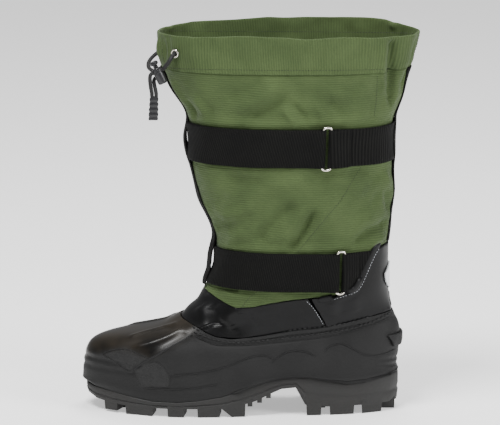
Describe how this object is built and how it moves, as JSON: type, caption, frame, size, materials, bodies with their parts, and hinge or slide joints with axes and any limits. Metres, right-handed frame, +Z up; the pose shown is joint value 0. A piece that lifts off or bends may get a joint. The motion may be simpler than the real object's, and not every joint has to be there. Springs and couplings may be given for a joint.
{
  "type": "cold-weather boot",
  "caption": "Left cold-weather boot with a moulded rubber foot, faux-leather ankle, ribbed nylon shaft, two straps with metal rings and a drawcord collar.",
  "frame": {"origin": "on the floor, under the middle of the boot's box", "axes": "+Z up; the toe points to -X and the outer side with the buckles to -Y"},
  "size_m": [0.3418, 0.1282, 0.3901],
  "materials": {
    "tread_rubber": "matt moulded rubber",
    "moulded_rubber": "matt moulded rubber, glossy vamp",
    "faux_leather": "shiny coated leather with soft creases",
    "green_nylon": "fine ribbed nylon",
    "black_webbing": "ribbed webbing",
    "black_felt": "felt",
    "black_cord": "round braided cord",
    "nickel_wire": "plated wire",
    "black_plastic": "moulded plastic",
    "silver_film": "plain silver reflective film"
  },
  "bodies": {
    "root": {"outsole": "tread_rubber", "foot_shell": "moulded_rubber", "insole": "black_felt", "leather_cuff": "faux_leather", "heel_counter": "faux_leather", "shaft": "green_nylon", "collar_hem": "green_nylon", "inner_boot": "black_felt", "front_webbing": "black_webbing", "back_webbing": "black_webbing", "upper_strap": "black_webbing", "upper_tab": "black_webbing", "upper_ring": "nickel_wire", "lower_strap": "black_webbing", "lower_tab": "black_webbing", "lower_ring": "nickel_wire", "eyelet_outer": "nickel_wire", "eyelet_inner": "nickel_wire", "drawcord_outer": "black_cord", "drawcord_inner": "black_cord", "drawcord_tail_outer": "black_cord", "drawcord_tail_inner": "black_cord", "cord_lock": "black_plastic", "cord_end": "black_plastic", "reflector_badge": "silver_film"}
  },
  "joints": []
}
